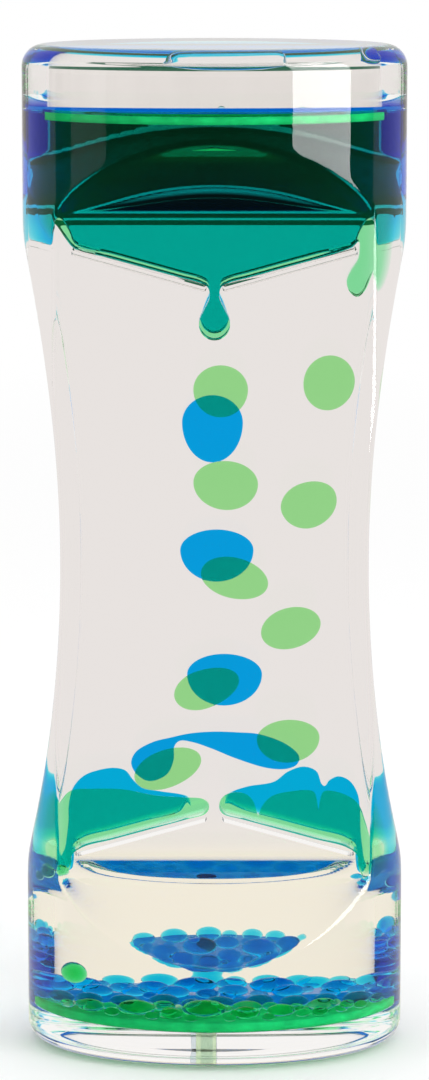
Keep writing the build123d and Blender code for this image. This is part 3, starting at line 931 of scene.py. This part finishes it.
TABLE_REACH = 6.0
TABLE_DROP = 0.0003
CREAM_NEAR = (0.05, (0.90, 0.845, 0.715))
ROSY_FAR = (0.16, (0.82, 0.782, 0.767))
# Painted dark reflection: mirrored rays on the camera's side see the table in this colour, standing in for
# a dark studio in front
PAINTED_DARK_REFLECTION = (0.05, 0.05, 0.05)
PALE_TABLE = (0.97, 0.97, 0.97)
DARK_BEGINS = -0.012
DARK_ENDS = -0.03
FADE_BEGINS = 0.25
FADE_ENDS = 0.8
SCREEN_RADIUS = 0.25
SCREEN_HALF_TURN = 48
SCREEN_HEIGHTS = (0.109, 0.1212, 0.1365, 0.26)
# Bands of the screen from below. The green flags are painted shade: dark sheets that darken the liquid seen
# through the walls, tinted green in place of the faint light inside the dyed liquid
SCREEN_BANDS = {
    "low_painted_shade_flag": (0.012, 0.10, 0.055),
    "pale_card": (0.67, 0.645, 0.63),
    "high_painted_shade_flag": (0.04, 0.075, 0.04),
}
PALE_STUDIO = (0.95, 0.935, 0.925)
DARK_CEILING = (0.02, 0.02, 0.02)
STUDIO_LIGHT = (0.95, 0.95, 0.95)
CEILING_BEGINS = 0.93
CEILING_ENDS = 0.98

# Soft lights: azimuth, distance, width, and the radiance that is cast and that is mirrored
SOFTBOXES = {
    "right_softbox": (51, 0.5, 0.3, 3.0, 16.0),
    "left_softbox": (-62, 0.6, 0.25, 1.2, 0.9),
}
SOFTBOX_HEIGHT = 0.6
GLEAM_NEARER = 0.01

EYE = (0, -0.62575, 0.1833)
LOOK_DOWN = 9.7
SENSOR_WIDTH = 36
LENS = 141.8
CLIP_START = 0.01


def mixed(nodes, links, factor, first, second):
    """Colour between two colours or sockets, by a factor socket."""
    mix = nodes.new("ShaderNodeMix")
    mix.data_type = "RGBA"
    links.new(factor, mix.inputs["Factor"])
    for name, given in (("A", first), ("B", second)):
        if isinstance(given, tuple):
            mix.inputs[name].default_value = (*given, 1)
        else:
            links.new(given, mix.inputs[name])
    return mix.outputs["Result"]


def in_front(nodes, links, place, path, begins, ends):
    """1 for mirrored rays that meet the table on the camera's side of the object, where it shows dark."""
    parts = nodes.new("ShaderNodeSeparateXYZ")
    span = nodes.new("ShaderNodeMapRange")
    span.inputs["From Min"].default_value = begins
    span.inputs["From Max"].default_value = ends
    product = nodes.new("ShaderNodeMath")
    product.operation = "MULTIPLY"
    mirrored = nodes.new("ShaderNodeMath")
    mirrored.operation = "SUBTRACT"
    links.new(path.outputs["Is Glossy Ray"], mirrored.inputs[0])
    links.new(path.outputs["Is Transmission Ray"], mirrored.inputs[1])
    links.new(place, parts.inputs["Vector"])
    links.new(parts.outputs["Y"], span.inputs["Value"])
    links.new(span.outputs["Result"], product.inputs[0])
    links.new(mirrored.outputs["Value"], product.inputs[1])
    return product.outputs["Value"]


def through_glass(nodes, links, path):
    """1 for rays that glass has bent or mirrored."""
    sharp = nodes.new("ShaderNodeMath")
    sharp.operation = "MAXIMUM"
    links.new(path.outputs["Is Glossy Ray"], sharp.inputs[0])
    links.new(path.outputs["Is Transmission Ray"], sharp.inputs[1])
    return sharp.outputs["Value"]


def make_stage():
    """Pale table: white to the camera, fading to pure white, and cream to rosy grey through the walls."""
    mesh = bpy.data.meshes.new("table_top")
    corners = [(-1, -1), (1, -1), (1, 1), (-1, 1)]
    points = [(TABLE_REACH * x, TABLE_REACH * y, -TABLE_DROP) for x, y in corners]
    mesh.from_pydata(points, [], [(0, 1, 2, 3)])
    table = bpy.data.objects.new("table_top", mesh)
    bpy.context.collection.objects.link(table)
    material, nodes, links, shader = new_material("pale_table")
    place = nodes.new("ShaderNodeTexCoord")
    path = nodes.new("ShaderNodeLightPath")
    far = nodes.new("ShaderNodeVectorMath")
    far.operation = "LENGTH"
    links.new(place.outputs["Object"], far.inputs[0])
    near_far = ramp_of(nodes, links, far.outputs["Value"], [CREAM_NEAR, ROSY_FAR])
    # Painted dark reflection of the table on the camera's side, for mirrored rays only
    painted_dark_front = in_front(nodes, links, place.outputs["Object"], path, DARK_BEGINS, DARK_ENDS)
    shown = mixed(nodes, links, painted_dark_front, near_far, PAINTED_DARK_REFLECTION)
    seen = mixed(nodes, links, path.outputs["Is Camera Ray"], shown, PALE_TABLE)
    links.new(seen, shader.inputs["Base Color"])
    shader.inputs["Roughness"].default_value = 0.9
    shader.inputs["Specular IOR Level"].default_value = 0.0
    glow = nodes.new("ShaderNodeEmission")
    glowing = mixed(nodes, links, path.outputs["Is Camera Ray"], shown, WHITE)
    links.new(glowing, glow.inputs["Color"])
    fade_stops = [(FADE_BEGINS, BLACK), (FADE_ENDS, WHITE)]
    fading = ramp_of(nodes, links, far.outputs["Value"], fade_stops)
    backdrop = mixed(nodes, links, path.outputs["Is Camera Ray"], BLACK, fading)
    bright = nodes.new("ShaderNodeMath")
    bright.operation = "MAXIMUM"
    links.new(backdrop, bright.inputs[0])
    links.new(through_glass(nodes, links, path), bright.inputs[1])
    either = nodes.new("ShaderNodeMixShader")
    links.new(bright.outputs["Value"], either.inputs["Fac"])
    links.new(shader.outputs["BSDF"], either.inputs[1])
    links.new(glow.outputs["Emission"], either.inputs[2])
    links.new(either.outputs["Shader"], nodes["Material Output"].inputs["Surface"])
    material.cycles.emission_sampling = "NONE"
    mesh.materials.append(material)


def make_screen():
    """Curved screen behind the object, shown by the clear parts alone: a pale band between dark green flags
    of painted shade.
    """
    turns = np.radians(np.linspace(-SCREEN_HALF_TURN, SCREEN_HALF_TURN, 49))
    ring = [(SCREEN_RADIUS * math.sin(t), SCREEN_RADIUS * math.cos(t)) for t in turns]
    points = [(x, y, z) for z in SCREEN_HEIGHTS for x, y in ring]
    count = len(turns)
    faces = [
        (row * count + i, row * count + i + 1, (row + 1) * count + i + 1, (row + 1) * count + i)
        for row in range(len(SCREEN_BANDS)) for i in range(count - 1)
    ]
    mesh = bpy.data.meshes.new("backdrop_screen")
    mesh.from_pydata(points, [], faces)
    for name, colour in SCREEN_BANDS.items():
        material, nodes, links, shader = new_material(name)
        noise = add_waviness(nodes, links, shader, scale=30, strength=0.1, distance=0.001)
        shades = [(0.3, tuple(0.94 * part for part in colour)), (0.7, colour)]
        links.new(ramp_of(nodes, links, noise.outputs["Fac"], shades), shader.inputs["Base Color"])
        shader.inputs["Roughness"].default_value = 0.95
        shader.inputs["Specular IOR Level"].default_value = 0.0
        mesh.materials.append(material)
    for face in mesh.polygons:
        face.material_index = face.index // (count - 1)
    screen = bpy.data.objects.new("backdrop_screen", mesh)
    bpy.context.collection.objects.link(screen)
    screen.visible_camera = False
    screen.visible_diffuse = False
    screen.visible_glossy = False
    screen.visible_shadow = False


def make_world():
    """White surroundings. In glass: a pale studio with a dark ceiling right overhead."""
    world = bpy.data.worlds.new("studio")
    bpy.context.scene.world = world
    world.use_nodes = True
    nodes, links = world.node_tree.nodes, world.node_tree.links
    place = nodes.new("ShaderNodeTexCoord")
    path = nodes.new("ShaderNodeLightPath")
    parts = nodes.new("ShaderNodeSeparateXYZ")
    links.new(place.outputs["Generated"], parts.inputs["Vector"])
    stops = [(0.0, PALE_STUDIO), (CEILING_BEGINS, PALE_STUDIO), (CEILING_ENDS, DARK_CEILING)]
    studio = ramp_of(nodes, links, parts.outputs["Z"], stops)
    lit = mixed(nodes, links, through_glass(nodes, links, path), STUDIO_LIGHT, studio)
    shown = mixed(nodes, links, path.outputs["Is Camera Ray"], lit, WHITE)
    links.new(shown, nodes["Background"].inputs["Color"])


def make_softbox(name, azimuth, distance, width, radiance, mirrored):
    """Upright soft light on the table, facing the object, azimuth counted from the front to the right."""
    lamp = bpy.data.lights.new(name, "AREA")
    lamp.shape = "RECTANGLE"
    lamp.size = width
    lamp.size_y = SOFTBOX_HEIGHT
    lamp.energy = radiance * math.pi * width * SOFTBOX_HEIGHT
    light = bpy.data.objects.new(name, lamp)
    turn = math.radians(azimuth)
    light.location = (distance * math.sin(turn), -distance * math.cos(turn), SOFTBOX_HEIGHT / 2)
    light.rotation_euler = (math.radians(90), 0, turn)
    light.visible_camera = False
    light.visible_transmission = False
    light.visible_diffuse = not mirrored
    light.visible_glossy = mirrored
    bpy.context.collection.objects.link(light)


def make_camera():
    """Camera at the photograph's viewpoint, looking a little down."""
    camera = bpy.data.cameras.new("camera")
    camera.sensor_width = SENSOR_WIDTH
    camera.lens = LENS
    camera.clip_start = CLIP_START
    eye = bpy.data.objects.new("camera", camera)
    eye.location = EYE
    eye.rotation_euler = (math.radians(90 - LOOK_DOWN), 0, 0)
    bpy.context.collection.objects.link(eye)
    bpy.context.scene.camera = eye


# The whole object

POOL_EDGE = 0.35
FUNNEL_EDGE = 0.5
RIBBON_NEAR = 1.3
RIBBON_FAR = 8.2
FRONT_DROPS = 5
SIDE_DROPS = 4
REAR_DROPS = 3
PIN_COLOURS = {"front_fill_pin": (0.76, 0.94, 0.66), "rear_fill_pin": (0.84, 0.93, 0.97)}

make_vessel()
for side in (FRONT, REAR):
    for hand in (LEFT, RIGHT):
        for upper in (True, False):
            make_ramp(side, hand, upper)
        name = f"{SIDE_NAMES[side]}_{HAND_NAMES[hand]}_roof_pool"
        outline = lower_outline(side, hand)
        make_liquid(f"{name}_body", name, outline, side, POOLS[side], POOL_EDGE, lean=crest_lean)
    make_floor(side)
for side in (FRONT, REAR):
    name = SIDE_NAMES[side]
    outline = upper_outline(side, drip=side == FRONT)
    make_liquid(f"{name}_funnel_liquid", f"{name}_upper_pool", outline, side, POOLS[side], FUNNEL_EDGE)
make_liquid(
    "rear_ribbon_body", "rear_ribbon", smooth_closed(RIBBON), REAR, BLUE_DROP, POOL_EDGE,
    near=RIBBON_NEAR, far=RIBBON_FAR, lean=free_lean,
)
for number in range(1, FRONT_DROPS + 1):
    landed = number == FRONT_DROPS
    make_drop(f"front_drop_{number}", FRONT, "vessel" if landed else f"front_drop_{number}")
for number in range(1, SIDE_DROPS + 1):
    make_drop(f"front_side_drop_{number}", FRONT, f"front_side_drop_{number}")
for number in range(1, REAR_DROPS + 1):
    make_drop(f"rear_drop_{number}", REAR, f"rear_drop_{number}")
make_strays()
make_bubble("large_air_bubble", x=1.4, y=-10.8, across=17.0, deep=6.0, thick=0.5)
make_level_film()
make_level_band()
make_meniscus(FRONT, GREEN_STRAY)
make_meniscus(REAR, BLUE_STRAY)
make_bubble("small_air_bubble", x=20.6, y=-5.0, across=4.0, deep=3.0, thick=0.35)
for node, colour in PIN_COLOURS.items():
    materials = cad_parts[node].data.materials
    materials[0] = pin_material(f"{node}_plastic", colour)

make_stage()
make_screen()
make_world()
for mirrored in (False, True):
    for name, (azimuth, distance, width, cast, gleam) in SOFTBOXES.items():
        if mirrored:
            make_softbox(f"{name}_gleam", azimuth, distance - GLEAM_NEARER, width, gleam, mirrored)
        else:
            make_softbox(f"{name}_light", azimuth, distance, width, cast, mirrored)
make_camera()

scene = bpy.context.scene
scene.view_settings.view_transform = "Standard"
scene.cycles.max_bounces = 40
scene.cycles.transmission_bounces = 36
scene.cycles.glossy_bounces = 12
